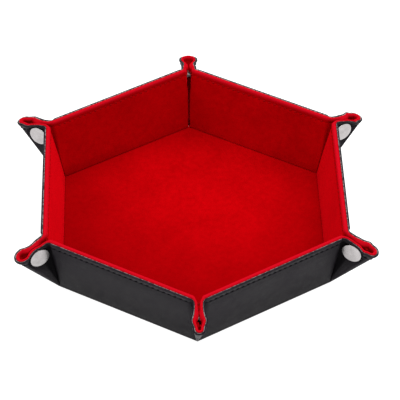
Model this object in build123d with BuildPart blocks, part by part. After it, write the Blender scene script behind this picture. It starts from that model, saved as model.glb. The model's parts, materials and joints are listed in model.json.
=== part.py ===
from build123d import *
import os
from math import asin, acos, atan2, cos, degrees, hypot, radians, sin, tan

# Folding hexagonal tray with its six walls snapped up, in millimetres and degrees.
# A leather cover and a padded velvet lining hold one stiffener board in the base and one in each wall.
# The soft web between two walls folds outwards into an ear, and a snap pinches its two halves together.
# The origin is on the table under the middle of the base, +Z is up, and two base corners lie on the Y axis.

# Outline and folds
SIDES = 6
BASE_SIDE = 90.0  # base edge between two corners, along the fold
WALL_HEIGHT = 42.0  # from the fold to the rim, up the slope
WALL_SLOPE = 78.5  # a raised wall above the table, in degrees

# Sheets
COVER = 0.9  # leather thickness
LINING = 2.2  # padded velvet thickness
BOARD = 1.3  # stiffener thickness
FIT = 0.15  # clearance between pieces that face each other
CREASE_GAP = 0.6  # leather kept back from a wall's end crease
COVER_EDGE_ROUND = 0.3  # rounding of the cut leather edge
RIM_ROUND = 0.9  # rounding of the velvet along the rim
BOARD_RIM_MARGIN = 6.0  # board kept back from the rim, for the seam
BOARD_FOLD_MARGIN = 3.0  # board kept back from the folds
BOARD_CORNER_ROUND = 2.0

# Ears
EAR_TRIM = 3.5  # tip of the web rounded back from its sharp corner
EAR_PINCH = 2.35  # half the distance between the two leathers where the snap holds them
EAR_PINCH_REACH = 9.5  # pinch from the crease, along the rim
EAR_LOOP_RADIUS = 3.0  # round of the loop at the ear's fold
EAR_START_SHARE = 0.08  # the halves start this far up from the base corner

# Snaps
SNAP_HEIGHT_SHARE = 0.81  # snap's height on the ear, of the way from the base corner to the rim
CAP_RADIUS = 6.0
CAP_HEIGHT = 1.5
CAP_EDGE = 0.7  # straight edge under the cap's dome
CAP_EDGE_ROUND = 0.3  # rounding between the cap's edge and its dome
POST_RADIUS = 1.4
FLANGE_RADIUS = 4.2
FLANGE = 0.4  # flange thickness
STUD_RADIUS = 2.0
STUD_REACH = 0.9  # how far the stud passes the ear's middle
STUD_NOSE_ROUND = 0.6
SOCKET_RADIUS = 3.2

# Angles and lengths that follow from the folds
CORNER_HALF = 180 / SIDES
SLOPE = radians(WALL_SLOPE)
HALF = radians(CORNER_HALF)
APOTHEM = BASE_SIDE / (2 * tan(HALF))
CORNER_RADIUS = BASE_SIDE / (2 * sin(HALF))
FOLD_MITRE = LINING / tan((radians(180) - SLOPE) / 2)
END_MITRE = LINING * sin(SLOPE) * tan(HALF)

# Ear in the upright plane through its corner: the rim's middle, and the tip on the fold between the halves
RIM_OUT = WALL_HEIGHT * cos(SLOPE) * cos(HALF)
RIM_UP = WALL_HEIGHT * sin(SLOPE)
CREASE_HALF_GAP = WALL_HEIGHT * cos(SLOPE) * sin(HALF)
CREASE_LEAN = hypot(cos(SLOPE) * cos(HALF), sin(SLOPE))
EAR_RISE = asin(cos(HALF) / CREASE_LEAN) - atan2(cos(SLOPE) * cos(HALF), sin(SLOPE))
EAR_LENGTH = WALL_HEIGHT / cos(HALF) - EAR_TRIM
TIP_OUT = EAR_LENGTH * cos(EAR_RISE)
TIP_UP = EAR_LENGTH * sin(EAR_RISE)
EAR_REACH = hypot(TIP_OUT - RIM_OUT, TIP_UP - RIM_UP)

# Snap seats, measured sideways from the ear's middle plane
CAP_SEAT = (EAR_PINCH + COVER) * SNAP_HEIGHT_SHARE
FLANGE_TILT = FLANGE_RADIUS * EAR_PINCH / WALL_HEIGHT
FLANGE_SEAT = EAR_PINCH * SNAP_HEIGHT_SHARE - FLANGE_TILT - FIT
POST_END = FLANGE_SEAT - FLANGE

WALLS = ("right", "back_right", "back_left", "left", "front_left", "front_right")
EARS = ("right_back", "back", "left_back", "left_front", "front", "right_front")
WALL_ANGLES = {name: 2 * CORNER_HALF * turn for turn, name in enumerate(WALLS)}
EAR_ANGLES = {name: 2 * CORNER_HALF * turn + CORNER_HALF for turn, name in enumerate(EARS)}
EAR_HALVES = {"stud": -1, "socket": 1}  # which way round the tray each half's own wall lies
UP = Vector(0, 0, 1)


def heading(angle):
    """Level direction at an angle round the tray."""
    return Vector(cos(radians(angle)), sin(radians(angle)), 0)


def write(piece, name):
    """Label one finished piece and write its file."""
    piece.part.label = name
    export_step(piece.part, f"parts/{name}.step")


def wall_plane(angle):
    """Plane between a wall's cover and lining: x along the fold, y up the slope, z outwards."""
    out = heading(angle)
    face = out * sin(SLOPE) - UP * cos(SLOPE)
    return Plane(origin=out * APOTHEM + UP * COVER, x_dir=heading(angle + 90), z_dir=face)


def ear_plane(angle, side, share):
    """Section plane of an ear half: x from the ear's middle towards the half's wall, y out along the rim."""
    out = heading(angle)
    aside = heading(angle + 90 * side)
    corner = out * CORNER_RADIUS + UP * COVER
    rim_middle = out * RIM_OUT + UP * RIM_UP
    along_rim = out * (TIP_OUT - RIM_OUT) + UP * (TIP_UP - RIM_UP)
    return Plane(origin=corner + rim_middle * share, x_dir=aside, z_dir=aside.cross(along_rim))


def snap_plane(angle, side, offset):
    """Plane square to the snap's axis, offset sideways from the ear's middle: z towards the half's wall."""
    section = ear_plane(angle, side, SNAP_HEIGHT_SHARE)
    centre = section.origin + section.y_dir * EAR_PINCH_REACH * SNAP_HEIGHT_SHARE
    return Plane(origin=centre + section.x_dir * offset, x_dir=section.y_dir, z_dir=section.x_dir)


def snap_section(angle, side):
    """Plane through the snap's axis: x is the radius and y runs sideways towards the half's wall."""
    face = snap_plane(angle, side, 0)
    return Plane(origin=face.origin, x_dir=face.x_dir, z_dir=face.x_dir.cross(face.z_dir))


def ear_curve(offset, share):
    """Line of an ear half at an offset from its leather, from the crease round to the ear's fold."""
    loop_middle = (EAR_REACH - COVER - EAR_LOOP_RADIUS) * share
    radius = (EAR_LOOP_RADIUS + offset) * share
    crease = ((CREASE_HALF_GAP + offset) * share, CREASE_GAP * share)
    pinch = ((EAR_PINCH + offset) * share, EAR_PINCH_REACH * share)
    sweep = Spline(crease, pinch, (radius, loop_middle), tangents=[Vector(*pinch) - Vector(*crease), (0, 1)])
    loop = CenterArc((0, loop_middle), radius, 0, degrees(acos(FIT * share / radius)))
    return sweep @ 0, loop @ 1


def ear_layer(name, angle, side, inner, outer, hole_radius, seat_radius):
    """One layer of an ear half: a folded sheet that tapers to the base corner, holed for the snap."""
    with BuildPart() as layer:
        for share in (EAR_START_SHARE, 1):
            with BuildSketch(ear_plane(angle, side, share)):
                with BuildLine():
                    inner_ends = ear_curve(inner, share)
                    outer_ends = ear_curve(outer, share)
                    Line(inner_ends[0], outer_ends[0])
                    Line(inner_ends[1], outer_ends[1])
                make_face()
        loft(ruled=True)
        with BuildSketch(snap_plane(angle, side, 0)):
            Circle(hole_radius)
        extrude(amount=EAR_LENGTH, mode=Mode.SUBTRACT)
        with BuildSketch(snap_plane(angle, side, CAP_SEAT)):
            Circle(seat_radius)
        extrude(amount=EAR_LENGTH, mode=Mode.SUBTRACT)
    write(layer, name)


def snap_half(name, angle, side, gripper_outline):
    """Cap outside an ear half and its stud or socket inside, as two turned pieces."""
    section = snap_section(angle, side)
    axis = Axis(section.origin, section.y_dir)
    with BuildPart() as snap:
        with BuildSketch(section) as cap_outline:
            with BuildLine():
                Polyline(
                    (0, CAP_SEAT + CAP_HEIGHT),
                    (0, POST_END),
                    (POST_RADIUS, POST_END),
                    (POST_RADIUS, CAP_SEAT),
                    (CAP_RADIUS, CAP_SEAT),
                    (CAP_RADIUS, CAP_SEAT + CAP_EDGE),
                )
                TangentArc((0, CAP_SEAT + CAP_HEIGHT), (CAP_RADIUS, CAP_SEAT + CAP_EDGE), tangent=(1, 0))
            make_face()
            outer_corners = cap_outline.vertices().group_by(Axis.X)[-1]
            fillet(outer_corners.sort_by(Axis.Y)[-1], CAP_EDGE_ROUND)
        revolve(axis=axis)
        with BuildSketch(section):
            with BuildLine():
                Polyline(*gripper_outline, close=True)
            make_face()
        revolve(axis=axis)
    write(snap, name)


os.makedirs("parts", exist_ok=True)

# Base: leather underneath, a board, and the velvet floor that covers it
with BuildPart() as base_cover:
    with BuildSketch(Plane.XY):
        RegularPolygon(APOTHEM - COVER - FIT, SIDES, major_radius=False, rotation=CORNER_HALF)
    extrude(amount=COVER)
    fillet(base_cover.faces().sort_by(Axis.Z)[0].edges(), COVER_EDGE_ROUND)
write(base_cover, "base_cover")

with BuildPart() as base_board:
    with BuildSketch(Plane.XY.offset(COVER)) as board_outline:
        RegularPolygon(APOTHEM - BOARD_FOLD_MARGIN, SIDES, major_radius=False, rotation=CORNER_HALF)
        fillet(board_outline.vertices(), BOARD_CORNER_ROUND)
    extrude(amount=BOARD)
write(base_board, "base_board")

with BuildPart() as base_lining:
    with BuildSketch(Plane.XY.offset(COVER)):
        RegularPolygon(APOTHEM - FIT, SIDES, major_radius=False, rotation=CORNER_HALF)
    with BuildSketch(Plane.XY.offset(COVER + LINING)):
        RegularPolygon(APOTHEM - FIT - FOLD_MITRE, SIDES, major_radius=False, rotation=CORNER_HALF)
    loft(ruled=True)
    with BuildSketch(Plane.XY.offset(COVER)) as pocket_outline:
        RegularPolygon(APOTHEM - BOARD_FOLD_MARGIN + FIT, SIDES, major_radius=False, rotation=CORNER_HALF)
        fillet(pocket_outline.vertices(), BOARD_CORNER_ROUND)
    extrude(amount=BOARD, mode=Mode.SUBTRACT)
write(base_lining, "base_lining")

# Walls: each has a leather cover rolled over its fold, a board, and a velvet lining mitred to its neighbours
for wall_name, wall_angle in WALL_ANGLES.items():
    wall = wall_plane(wall_angle)
    cover_width = BASE_SIDE - 2 * CREASE_GAP
    cover_end = Plane(wall.origin - wall.x_dir * cover_width / 2, x_dir=wall.y_dir, z_dir=wall.x_dir)
    with BuildPart() as wall_cover:
        with BuildSketch(cover_end):
            with BuildLine():
                Polyline((0, COVER), (WALL_HEIGHT, COVER), (WALL_HEIGHT, 0), (-COVER, 0))
                CenterArc((0, 0), COVER, 90, 90)
            make_face()
        extrude(amount=cover_width)
        rim_face = wall_cover.faces().sort_by(Axis(wall.origin, wall.y_dir))[-1]
        fillet(rim_face.edges().sort_by(Axis(wall.origin, wall.z_dir))[-1], COVER_EDGE_ROUND)
    write(wall_cover, f"wall_{wall_name}_cover")

    board_width = BASE_SIDE - 2 * BOARD_FOLD_MARGIN
    board_height = WALL_HEIGHT - BOARD_FOLD_MARGIN - BOARD_RIM_MARGIN
    board_middle = (0, BOARD_FOLD_MARGIN + board_height / 2)
    with BuildPart() as wall_board:
        with BuildSketch(wall):
            with Locations(board_middle):
                RectangleRounded(board_width, board_height, BOARD_CORNER_ROUND)
        extrude(amount=-BOARD)
    write(wall_board, f"wall_{wall_name}_board")

    with BuildPart() as wall_lining:
        for depth, fold_set, end_set in ((0, FIT, FIT), (-LINING, FIT + FOLD_MITRE, FIT + END_MITRE)):
            with BuildSketch(wall.offset(depth)):
                with Locations((0, (WALL_HEIGHT + fold_set) / 2)):
                    Rectangle(BASE_SIDE - 2 * end_set, WALL_HEIGHT - fold_set)
        loft(ruled=True)
        with BuildSketch(wall):
            with Locations(board_middle):
                RectangleRounded(board_width + 2 * FIT, board_height + 2 * FIT, BOARD_CORNER_ROUND)
        extrude(amount=-BOARD, mode=Mode.SUBTRACT)
        rim_face = wall_lining.faces().sort_by(Axis(wall.origin, wall.y_dir))[-1]
        fillet(rim_face.edges().sort_by(Axis(wall.origin, wall.z_dir))[0], RIM_ROUND)
    write(wall_lining, f"wall_{wall_name}_lining")

# Ears: two mirrored halves each, folded leather and velvet with half a snap
stud_outline = (
    (0, POST_END - FIT),
    (POST_RADIUS + FIT, POST_END - FIT),
    (POST_RADIUS + FIT, FLANGE_SEAT),
    (FLANGE_RADIUS, FLANGE_SEAT),
    (FLANGE_RADIUS, FLANGE_SEAT - FLANGE),
    (STUD_RADIUS, FLANGE_SEAT - FLANGE),
    (STUD_RADIUS, STUD_NOSE_ROUND - STUD_REACH),
    (STUD_RADIUS - STUD_NOSE_ROUND, -STUD_REACH),
    (0, -STUD_REACH),
)
socket_outline = (
    (POST_RADIUS + FIT, POST_END),
    (POST_RADIUS + FIT, FLANGE_SEAT),
    (FLANGE_RADIUS, FLANGE_SEAT),
    (FLANGE_RADIUS, FLANGE_SEAT - FLANGE),
    (SOCKET_RADIUS, FLANGE_SEAT - FLANGE),
    (SOCKET_RADIUS, FIT),
    (STUD_RADIUS + FIT, FIT),
    (STUD_RADIUS + FIT, POST_END),
)
gripper_outlines = {"stud": stud_outline, "socket": socket_outline}
for ear_name, ear_angle in EAR_ANGLES.items():
    for half_name, side in EAR_HALVES.items():
        half = f"ear_{ear_name}_{half_name}_half"
        ear_layer(f"{half}_cover", ear_angle, side, 0, COVER, POST_RADIUS + FIT, CAP_RADIUS + FIT)
        ear_layer(f"{half}_lining", ear_angle, side, -LINING, 0, FLANGE_RADIUS + FIT, CAP_RADIUS + FIT)
        snap_half(f"snap_{ear_name}_{half_name}", ear_angle, side, gripper_outlines[half_name])
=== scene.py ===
"""Snap-up hexagonal tray, dressed: black leather outside, red velvet inside, a snapped ear at each corner."""

import json
import logging
import math
from dataclasses import dataclass
from enum import Enum

import bmesh
import bpy
import numpy as np
from mathutils import Matrix, Vector, noise


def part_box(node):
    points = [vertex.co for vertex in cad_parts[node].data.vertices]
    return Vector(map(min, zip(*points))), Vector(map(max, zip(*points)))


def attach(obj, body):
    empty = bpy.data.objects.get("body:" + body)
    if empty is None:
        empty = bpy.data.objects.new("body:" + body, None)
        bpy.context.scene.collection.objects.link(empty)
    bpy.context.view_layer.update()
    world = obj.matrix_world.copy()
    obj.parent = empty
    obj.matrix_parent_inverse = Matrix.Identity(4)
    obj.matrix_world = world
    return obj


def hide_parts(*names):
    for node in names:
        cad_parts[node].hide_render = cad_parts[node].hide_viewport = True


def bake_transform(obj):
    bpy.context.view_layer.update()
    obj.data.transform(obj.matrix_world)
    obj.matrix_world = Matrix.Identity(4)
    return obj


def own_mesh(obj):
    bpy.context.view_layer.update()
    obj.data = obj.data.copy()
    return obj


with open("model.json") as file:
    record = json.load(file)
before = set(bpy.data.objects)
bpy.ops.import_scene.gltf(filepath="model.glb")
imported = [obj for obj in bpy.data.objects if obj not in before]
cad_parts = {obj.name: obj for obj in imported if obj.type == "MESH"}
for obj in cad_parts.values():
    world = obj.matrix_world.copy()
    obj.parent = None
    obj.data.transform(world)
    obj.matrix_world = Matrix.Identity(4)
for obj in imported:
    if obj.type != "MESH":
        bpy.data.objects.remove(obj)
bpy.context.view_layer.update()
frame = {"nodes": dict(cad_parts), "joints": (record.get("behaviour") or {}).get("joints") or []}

JOINTS = {joint["name"]: joint for joint in frame["joints"]}
LOG = logging.getLogger("tray")
MM = 0.001
UP = np.array((0.0, 0.0, 1.0))

WALL_NAMES = ("right", "back_right", "back_left", "left", "front_left", "front_right")
EAR_NAMES = ("right_back", "back", "left_back", "left_front", "front", "right_front")
CORNER_TURN = 360 / len(WALL_NAMES)
HALF_CORNER = math.radians(CORNER_TURN / 2)
SHEET_CRISP = 50.0
SNAP_CRISP = 35.0
OUTER_FACE = -0.5 * MM


class EarSide(Enum):
    """Half of an ear, by which way round the tray its own wall lies."""

    STUD = -1
    SOCKET = 1

    @property
    def word(self) -> str:
        """Name of the half as the frame writes it."""
        return self.name.lower()


class Slot(Enum):
    """Material slots of the record that the sheets and their threads use."""

    LEATHER = "leather"
    VELVET = "velvet"


def unit(vector: np.ndarray) -> np.ndarray:
    """Vector or rows of vectors at length one."""
    return vector / np.linalg.norm(vector, axis=-1, keepdims=True)


def smooth_step(value: np.ndarray, low: float, high: float) -> np.ndarray:
    """Ease from 0 at low to 1 at high."""
    share = np.clip((value - low) / (high - low), 0.0, 1.0)
    return share * share * (3.0 - 2.0 * share)


def hump(value: np.ndarray, middle: float, width: float) -> np.ndarray:
    """Round hump of height one about a middle value."""
    return np.exp(-(((value - middle) / width) ** 2))


def heading(degrees: float) -> np.ndarray:
    """Level direction at an angle round the tray."""
    angle = math.radians(degrees)
    return np.array((math.cos(angle), math.sin(angle), 0.0))


def slope_facing(degrees: float, slope: float) -> np.ndarray:
    """Outward direction of a wall that leans out at a slope, by its angle round the tray."""
    return heading(degrees) * math.sin(slope) - UP * math.cos(slope)


def run_along(line: np.ndarray) -> np.ndarray:
    """Distance of each point along a line from its first point."""
    return np.concatenate([[0.0], np.cumsum(np.linalg.norm(np.diff(line, axis=0), axis=1))])


def ripple(points: np.ndarray, size: float, seed: float) -> np.ndarray:
    """Smooth unevenness between -1 and 1 over points.

    Args:
        points: Rows of places, in metres.
        size: Width of one swell, in metres.
        seed: Shift that makes each piece differ.

    Returns:
        One value for each point.
    """
    shift = Vector((seed, -seed, seed * 0.5))
    flat = points.reshape(-1, 3) / size
    values = [noise.noise(Vector(place) + shift) for place in flat]
    return np.array(values).reshape(points.shape[:-1])


@dataclass(frozen=True)
class TraySizes:
    """Shared sizes in metres and radians, read from the frame."""

    apothem: float
    corner_radius: float
    half_side: float
    slope: float
    wall_height: float
    leather: float
    velvet: float
    ear_rise: float
    ear_length: float

    @classmethod
    def from_frame(cls) -> "TraySizes":
        """Measure the frame's joints and nodes.

        Returns:
            The tray's sizes.
        """
        fold = JOINTS["wall_right_fold"]["pos_m"]
        corner = JOINTS["ear_right_back_stud_half_crease"]["pos_m"]
        crease = np.abs(JOINTS["ear_right_back_stud_half_crease"]["axis"])
        slope = math.atan2(crease[2], math.hypot(crease[0], crease[1]))
        leather = fold[2]
        lean = math.cos(slope) * math.cos(HALF_CORNER)
        rise = math.asin(math.cos(HALF_CORNER) / math.hypot(lean, math.sin(slope)))
        rise -= math.atan2(lean, math.sin(slope))
        corner_radius = math.hypot(corner[0], corner[1])
        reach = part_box("ear_back_stud_half_cover")[1].y - corner_radius
        return cls(
            apothem=fold[0],
            corner_radius=corner_radius,
            half_side=corner[1],
            slope=slope,
            wall_height=(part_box("wall_right_cover")[1].z - leather) / math.sin(slope),
            leather=leather,
            velvet=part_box("base_lining")[1].z - leather,
            ear_rise=rise,
            ear_length=reach / math.cos(rise),
        )


@dataclass(frozen=True)
class Section:
    """Closed outline of a sheet across its fold: a shown side, then the hidden side in the same order.

    A row lies at rise along the sheet and at depth towards the tray's inside. Rise is a share of the
    sheet's height plus an offset, and turn runs from 0 on the base to 1 on the wall.
    """

    share: np.ndarray
    offset: np.ndarray
    depth: np.ndarray
    turn: np.ndarray
    edge: np.ndarray

    @classmethod
    def from_rows(cls, shown: list[tuple], hidden: list[tuple]) -> "Section":
        """Join the two sides into one loop.

        Args:
            shown: Rows (share, offset, depth, turn, edge) from the base or the foot up to the rim.
            hidden: As many rows for the other side, in the same order.

        Returns:
            The closed section.
        """
        rows = np.array(list(shown) + list(reversed(hidden)), float)
        return cls(*rows.T)

    @property
    def outside(self) -> np.ndarray:
        """Rows on the shown face of the leather."""
        return self.depth < OUTER_FACE

    @property
    def on_wall(self) -> np.ndarray:
        """Rows that stand in the wall's plane."""
        return self.turn > 0.99

    @property
    def is_lining(self) -> bool:
        """Whether the sheet is the velvet."""
        return bool(self.depth.max() > 0)

    def rise(self, height: float) -> np.ndarray:
        """Place of each row along a sheet of the given height."""
        return self.share * height + self.offset


def finished_mesh(
    name: str, points: np.ndarray, faces: list, edge: np.ndarray, crisp: float
) -> bpy.types.Object:
    """Make an object with outward normals, smooth shading and an edge attribute.

    Args:
        name: Name of the piece.
        points: Rows of places in metres.
        faces: Corner numbers of each face.
        edge: Edge value of each point: wear, a painted highlight on the velvet's rim, and painted shade below
            0.
        crisp: Angle in degrees above which an edge stays sharp.

    Returns:
        The new object, linked to the scene.
    """
    mesh = bpy.data.meshes.new(name)
    mesh.from_pydata(points.tolist(), [], faces)
    work = bmesh.new()
    work.from_mesh(mesh)
    bmesh.ops.recalc_face_normals(work, faces=work.faces)
    work.to_mesh(mesh)
    work.free()
    mesh.attributes.new("edge", "FLOAT", "POINT").data.foreach_set("value", edge.astype(np.float32))
    mesh.shade_smooth()
    mesh.set_sharp_from_angle(angle=math.radians(crisp))
    piece = bpy.data.objects.new(name, mesh)
    bpy.context.scene.collection.objects.link(piece)
    return piece


def closed_sheet(name: str, grid: np.ndarray, edge: np.ndarray) -> bpy.types.Object:
    """Make a closed mesh from a row of sections, with strips across both ends.

    Args:
        name: Name of the piece.
        grid: Columns of rows of points; each column is one closed section.
        edge: How far each row, or each point, counts as a worn edge, from 0 to 1, shown on the velvet's rim
            as a painted
        highlight; below 0 it is painted shade deep in a fold or low on a wall.

    Returns:
        The new object.
    """
    columns, rows = grid.shape[:2]
    index = np.arange(columns * rows).reshape(columns, rows)
    after = np.roll(index, -1, axis=1)
    quads = np.stack([index[:-1], index[1:], after[1:], after[:-1]], axis=-1).reshape(-1, 4).tolist()
    for column, turned in ((index[0], False), (index[-1], True)):
        for row in range(rows // 2 - 1):
            strip = [column[row], column[row + 1], column[rows - 2 - row], column[rows - 1 - row]]
            quads.append([int(corner) for corner in (reversed(strip) if turned else strip)])
    wear = np.broadcast_to(edge, (columns, rows)).ravel()
    return finished_mesh(name, grid.reshape(-1, 3), quads, wear, SHEET_CRISP)


def dress(piece: bpy.types.Object, material: bpy.types.Material) -> None:
    """Give a piece its finish.

    Args:
        piece: The object.
        material: Its finish.
    """
    piece.data.materials.clear()
    piece.data.materials.append(material)


class NodeTree:
    """Short way to add and link nodes in a material or a group."""

    def __init__(self, tree: bpy.types.NodeTree) -> None:
        """Wrap a node tree."""
        self.tree = tree

    def fill(self, node: bpy.types.Node, inputs: dict) -> None:
        """Link or set a node's inputs.

        Args:
            node: The node.
            inputs: Values or output sockets by input name or number.
        """
        for key, value in inputs.items():
            if isinstance(value, bpy.types.NodeSocket):
                self.tree.links.new(value, node.inputs[key])
            else:
                node.inputs[key].default_value = value

    def add(self, kind: str, inputs: dict | None = None, **settings: object) -> bpy.types.Node:
        """Add a node, set it up, and link or fill its inputs.

        Args:
            kind: Blender's node type.
            inputs: Values or output sockets by input name or number.
            settings: Attributes of the node.

        Returns:
            The new node.
        """
        node = self.tree.nodes.new(kind)
        for key, value in settings.items():
            setattr(node, key, value)
        self.fill(node, inputs or {})
        return node

    def group(self, tree: bpy.types.NodeTree, **values: float) -> bpy.types.Node:
        """Place a shared group with its own values."""
        return self.add("ShaderNodeGroup", values, node_tree=tree)

    def place(self) -> bpy.types.NodeSocket:
        """Place on the object."""
        return self.add("ShaderNodeTexCoord").outputs["Object"]

    def edge(self) -> bpy.types.NodeSocket:
        """Edge value that the mesh carries: wear, a painted highlight on the velvet's rim, and painted shade
        below 0.
        """
        return self.add("ShaderNodeAttribute", attribute_name="edge").outputs["Fac"]

    def noise(self, place: bpy.types.NodeSocket, scale: object, detail: float) -> bpy.types.NodeSocket:
        """Noise at a scale, as a value."""
        inputs = {"Vector": place, "Scale": scale, "Detail": detail}
        return self.add("ShaderNodeTexNoise", inputs).outputs["Fac"]

    def spread(
        self, value: bpy.types.NodeSocket, low: float, high: float, to: tuple = (0.0, 1.0)
    ) -> bpy.types.NodeSocket:
        """Map a value from low..high to another range, clamped."""
        inputs = {"Value": value, "From Min": low, "From Max": high, "To Min": to[0], "To Max": to[1]}
        return self.add("ShaderNodeMapRange", inputs).outputs["Result"]

    def maths(self, operation: str, first: object, second: object) -> bpy.types.NodeSocket:
        """Result of one sum on two values."""
        return self.add("ShaderNodeMath", {0: first, 1: second}, operation=operation).outputs[0]

    def mix(self, share: object, first: object, second: object) -> bpy.types.NodeSocket:
        """Colour between two colours."""
        inputs = {"Factor": share, 6: first, 7: second}
        return self.add("ShaderNodeMix", inputs, data_type="RGBA").outputs[2]

    def relief(self, height: bpy.types.NodeSocket, strength: float, depth: float) -> bpy.types.NodeSocket:
        """Normal of a surface with a bump."""
        inputs = {"Height": height, "Strength": strength, "Distance": depth}
        return self.add("ShaderNodeBump", inputs).outputs["Normal"]


def new_group(name: str, inputs: dict[str, float], outputs: tuple[str, ...]) -> tuple:
    """Start a shader group with value inputs and outputs.

    Args:
        name: Name of the group.
        inputs: Input names with their first values.
        outputs: Output names.

    Returns:
        The group, its node helper, its input node and its output node.
    """
    group = bpy.data.node_groups.new(name, "ShaderNodeTree")
    for label, value in inputs.items():
        socket = group.interface.new_socket(name=label, in_out="INPUT", socket_type="NodeSocketFloat")
        socket.default_value = value
    for label in outputs:
        group.interface.new_socket(name=label, in_out="OUTPUT", socket_type="NodeSocketFloat")
    nodes = NodeTree(group)
    return group, nodes, nodes.add("NodeGroupInput"), nodes.add("NodeGroupOutput")


class SharedEffects:
    """Shader groups that several finishes use."""

    def __init__(self) -> None:
        """Build each group once."""
        self.mottle = self.make_mottle()
        self.wear = self.make_wear()
        self.fibre = self.make_fibre()

    @staticmethod
    def make_mottle() -> bpy.types.NodeTree:
        """Large and small unevenness of tone, from 0 to 1.

        Returns:
            The group.
        """
        group, nodes, given, result = new_group("mottle", {"Large": 40.0, "Small": 250.0}, ("Tone",))
        place = nodes.place()
        large = nodes.noise(place, given.outputs["Large"], 3.0)
        small = nodes.noise(place, given.outputs["Small"], 2.0)
        nodes.fill(result, {"Tone": nodes.spread(nodes.maths("ADD", large, small), 0.7, 1.3)})
        return group

    @staticmethod
    def make_wear() -> bpy.types.NodeTree:
        """Rubbed mask along the edges that a mesh marks.

        Returns:
            The group.
        """
        group, nodes, given, result = new_group("edge_wear", {"Amount": 0.5, "Patch": 300.0}, ("Mask",))
        patch = nodes.noise(nodes.place(), given.outputs["Patch"], 4.0)
        rubbed = nodes.maths("MULTIPLY", nodes.edge(), nodes.spread(patch, 0.35, 0.65))
        nodes.fill(result, {"Mask": nodes.maths("MULTIPLY", rubbed, given.outputs["Amount"])})
        return group

    @staticmethod
    def make_fibre() -> bpy.types.NodeTree:
        """Fine short fibres as a height and a tone.

        Returns:
            The group.
        """
        group, nodes, given, result = new_group("fine_fibre", {"Scale": 1800.0}, ("Height", "Tone"))
        place = nodes.place()
        tuft = nodes.add("ShaderNodeTexVoronoi", {"Vector": place, "Scale": given.outputs["Scale"]})
        haze = nodes.noise(place, given.outputs["Scale"], 3.0)
        nodes.fill(result, {"Height": tuft.outputs["Distance"], "Tone": nodes.spread(haze, 0.3, 0.7)})
        return group


def start_material(name: str) -> tuple[bpy.types.Material, NodeTree, bpy.types.Node]:
    """New material with a bare Principled shader.

    Args:
        name: Name of the material.

    Returns:
        The material, its node helper and its shader node.
    """
    material = bpy.data.materials.new(name)
    material.use_nodes = True
    nodes = NodeTree(material.node_tree)
    return material, nodes, material.node_tree.nodes["Principled BSDF"]


@dataclass(frozen=True)
class VelvetFinish:
    """Short red pile that darkens face on and lights up at a slant, with a painted highlight along the rim,
    painted shade down in the slots and a darker floor.
    """

    deep: tuple = (0.315, 0.0002, 0.0012, 1.0)
    bright: tuple = (0.425, 0.0004, 0.0020, 1.0)
    # Brighter red of the painted highlight along the rolled rim.
    painted_rim_highlight: tuple = (0.43, 0.0026, 0.0090, 1.0)
    # Darker red that the floor takes on, most of all away from a spot near the back.
    floor_dark_tone: tuple = (0.16, 0.0001, 0.0008, 1.0)
    # Near-black red of painted shade down in an ear's slot, used where the edge value is below 0.
    shadow: tuple = (0.030, 0.0001, 0.0002, 1.0)
    glow: tuple = (1.0, 0.003, 0.012, 1.0)
    tip_share: float = 0.35
    # Spot near the back where the floor keeps its tone, distances over which the darker tone comes in, how
    # much the floor takes, and heights over which it fades up the walls.
    undarkened_spot: tuple = (0.012, 0.040, 0.0)
    undarkened_reach: tuple = (0.030, 0.110)
    floor_dark_share: float = 0.68
    floor_dark_height: tuple = (4 * MM, 9 * MM)
    pile_scale: float = 1700.0
    pile_depth: float = 0.15 * MM

    def make(self, effects: SharedEffects) -> bpy.types.Material:
        """Build the material.

        Args:
            effects: Shared shader groups.

        Returns:
            The velvet material.
        """
        material, nodes, shader = start_material("red_velvet")
        mottle = nodes.group(effects.mottle, Large=45.0, Small=320.0)
        fibre = nodes.group(effects.fibre, Scale=self.pile_scale)
        tone = nodes.mix(mottle.outputs["Tone"], self.deep, self.bright)
        tips = nodes.mix(nodes.maths("MULTIPLY", fibre.outputs["Tone"], self.tip_share), tone, self.deep)
        edge, place = nodes.edge(), nodes.place()
        # The floor is darker below 4 to 9 mm, and more so away from a spot near the back.
        spot = nodes.add("ShaderNodeVectorMath", {0: place, 1: self.undarkened_spot}, operation="DISTANCE")
        away = nodes.spread(spot.outputs["Value"], *self.undarkened_reach)
        height = nodes.add("ShaderNodeSeparateXYZ", {0: place}).outputs["Z"]
        flat = nodes.spread(height, *self.floor_dark_height, (self.floor_dark_share, 0.0))
        floor_darkened = nodes.mix(nodes.maths("MULTIPLY", away, flat), tips, self.floor_dark_tone)
        # Painted highlight: where the edge value runs up to 1 along the rim, the colour goes to the brighter
        # red.
        lit = nodes.mix(nodes.spread(edge, 0.0, 1.0), floor_darkened, self.painted_rim_highlight)
        # Base colour: painted shade towards the near-black red where the edge value is below 0.
        nodes.fill(shader, {
            "Base Color": nodes.mix(nodes.spread(edge, -1.0, 0.0), self.shadow, lit),
            "Normal": nodes.relief(fibre.outputs["Height"], 0.35, self.pile_depth),
            "Roughness": 0.95,
            "Specular IOR Level": 0.0,
            "Sheen Weight": 1.0,
            "Sheen Roughness": 0.36,
            "Sheen Tint": self.glow,
        })
        return material


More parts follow.
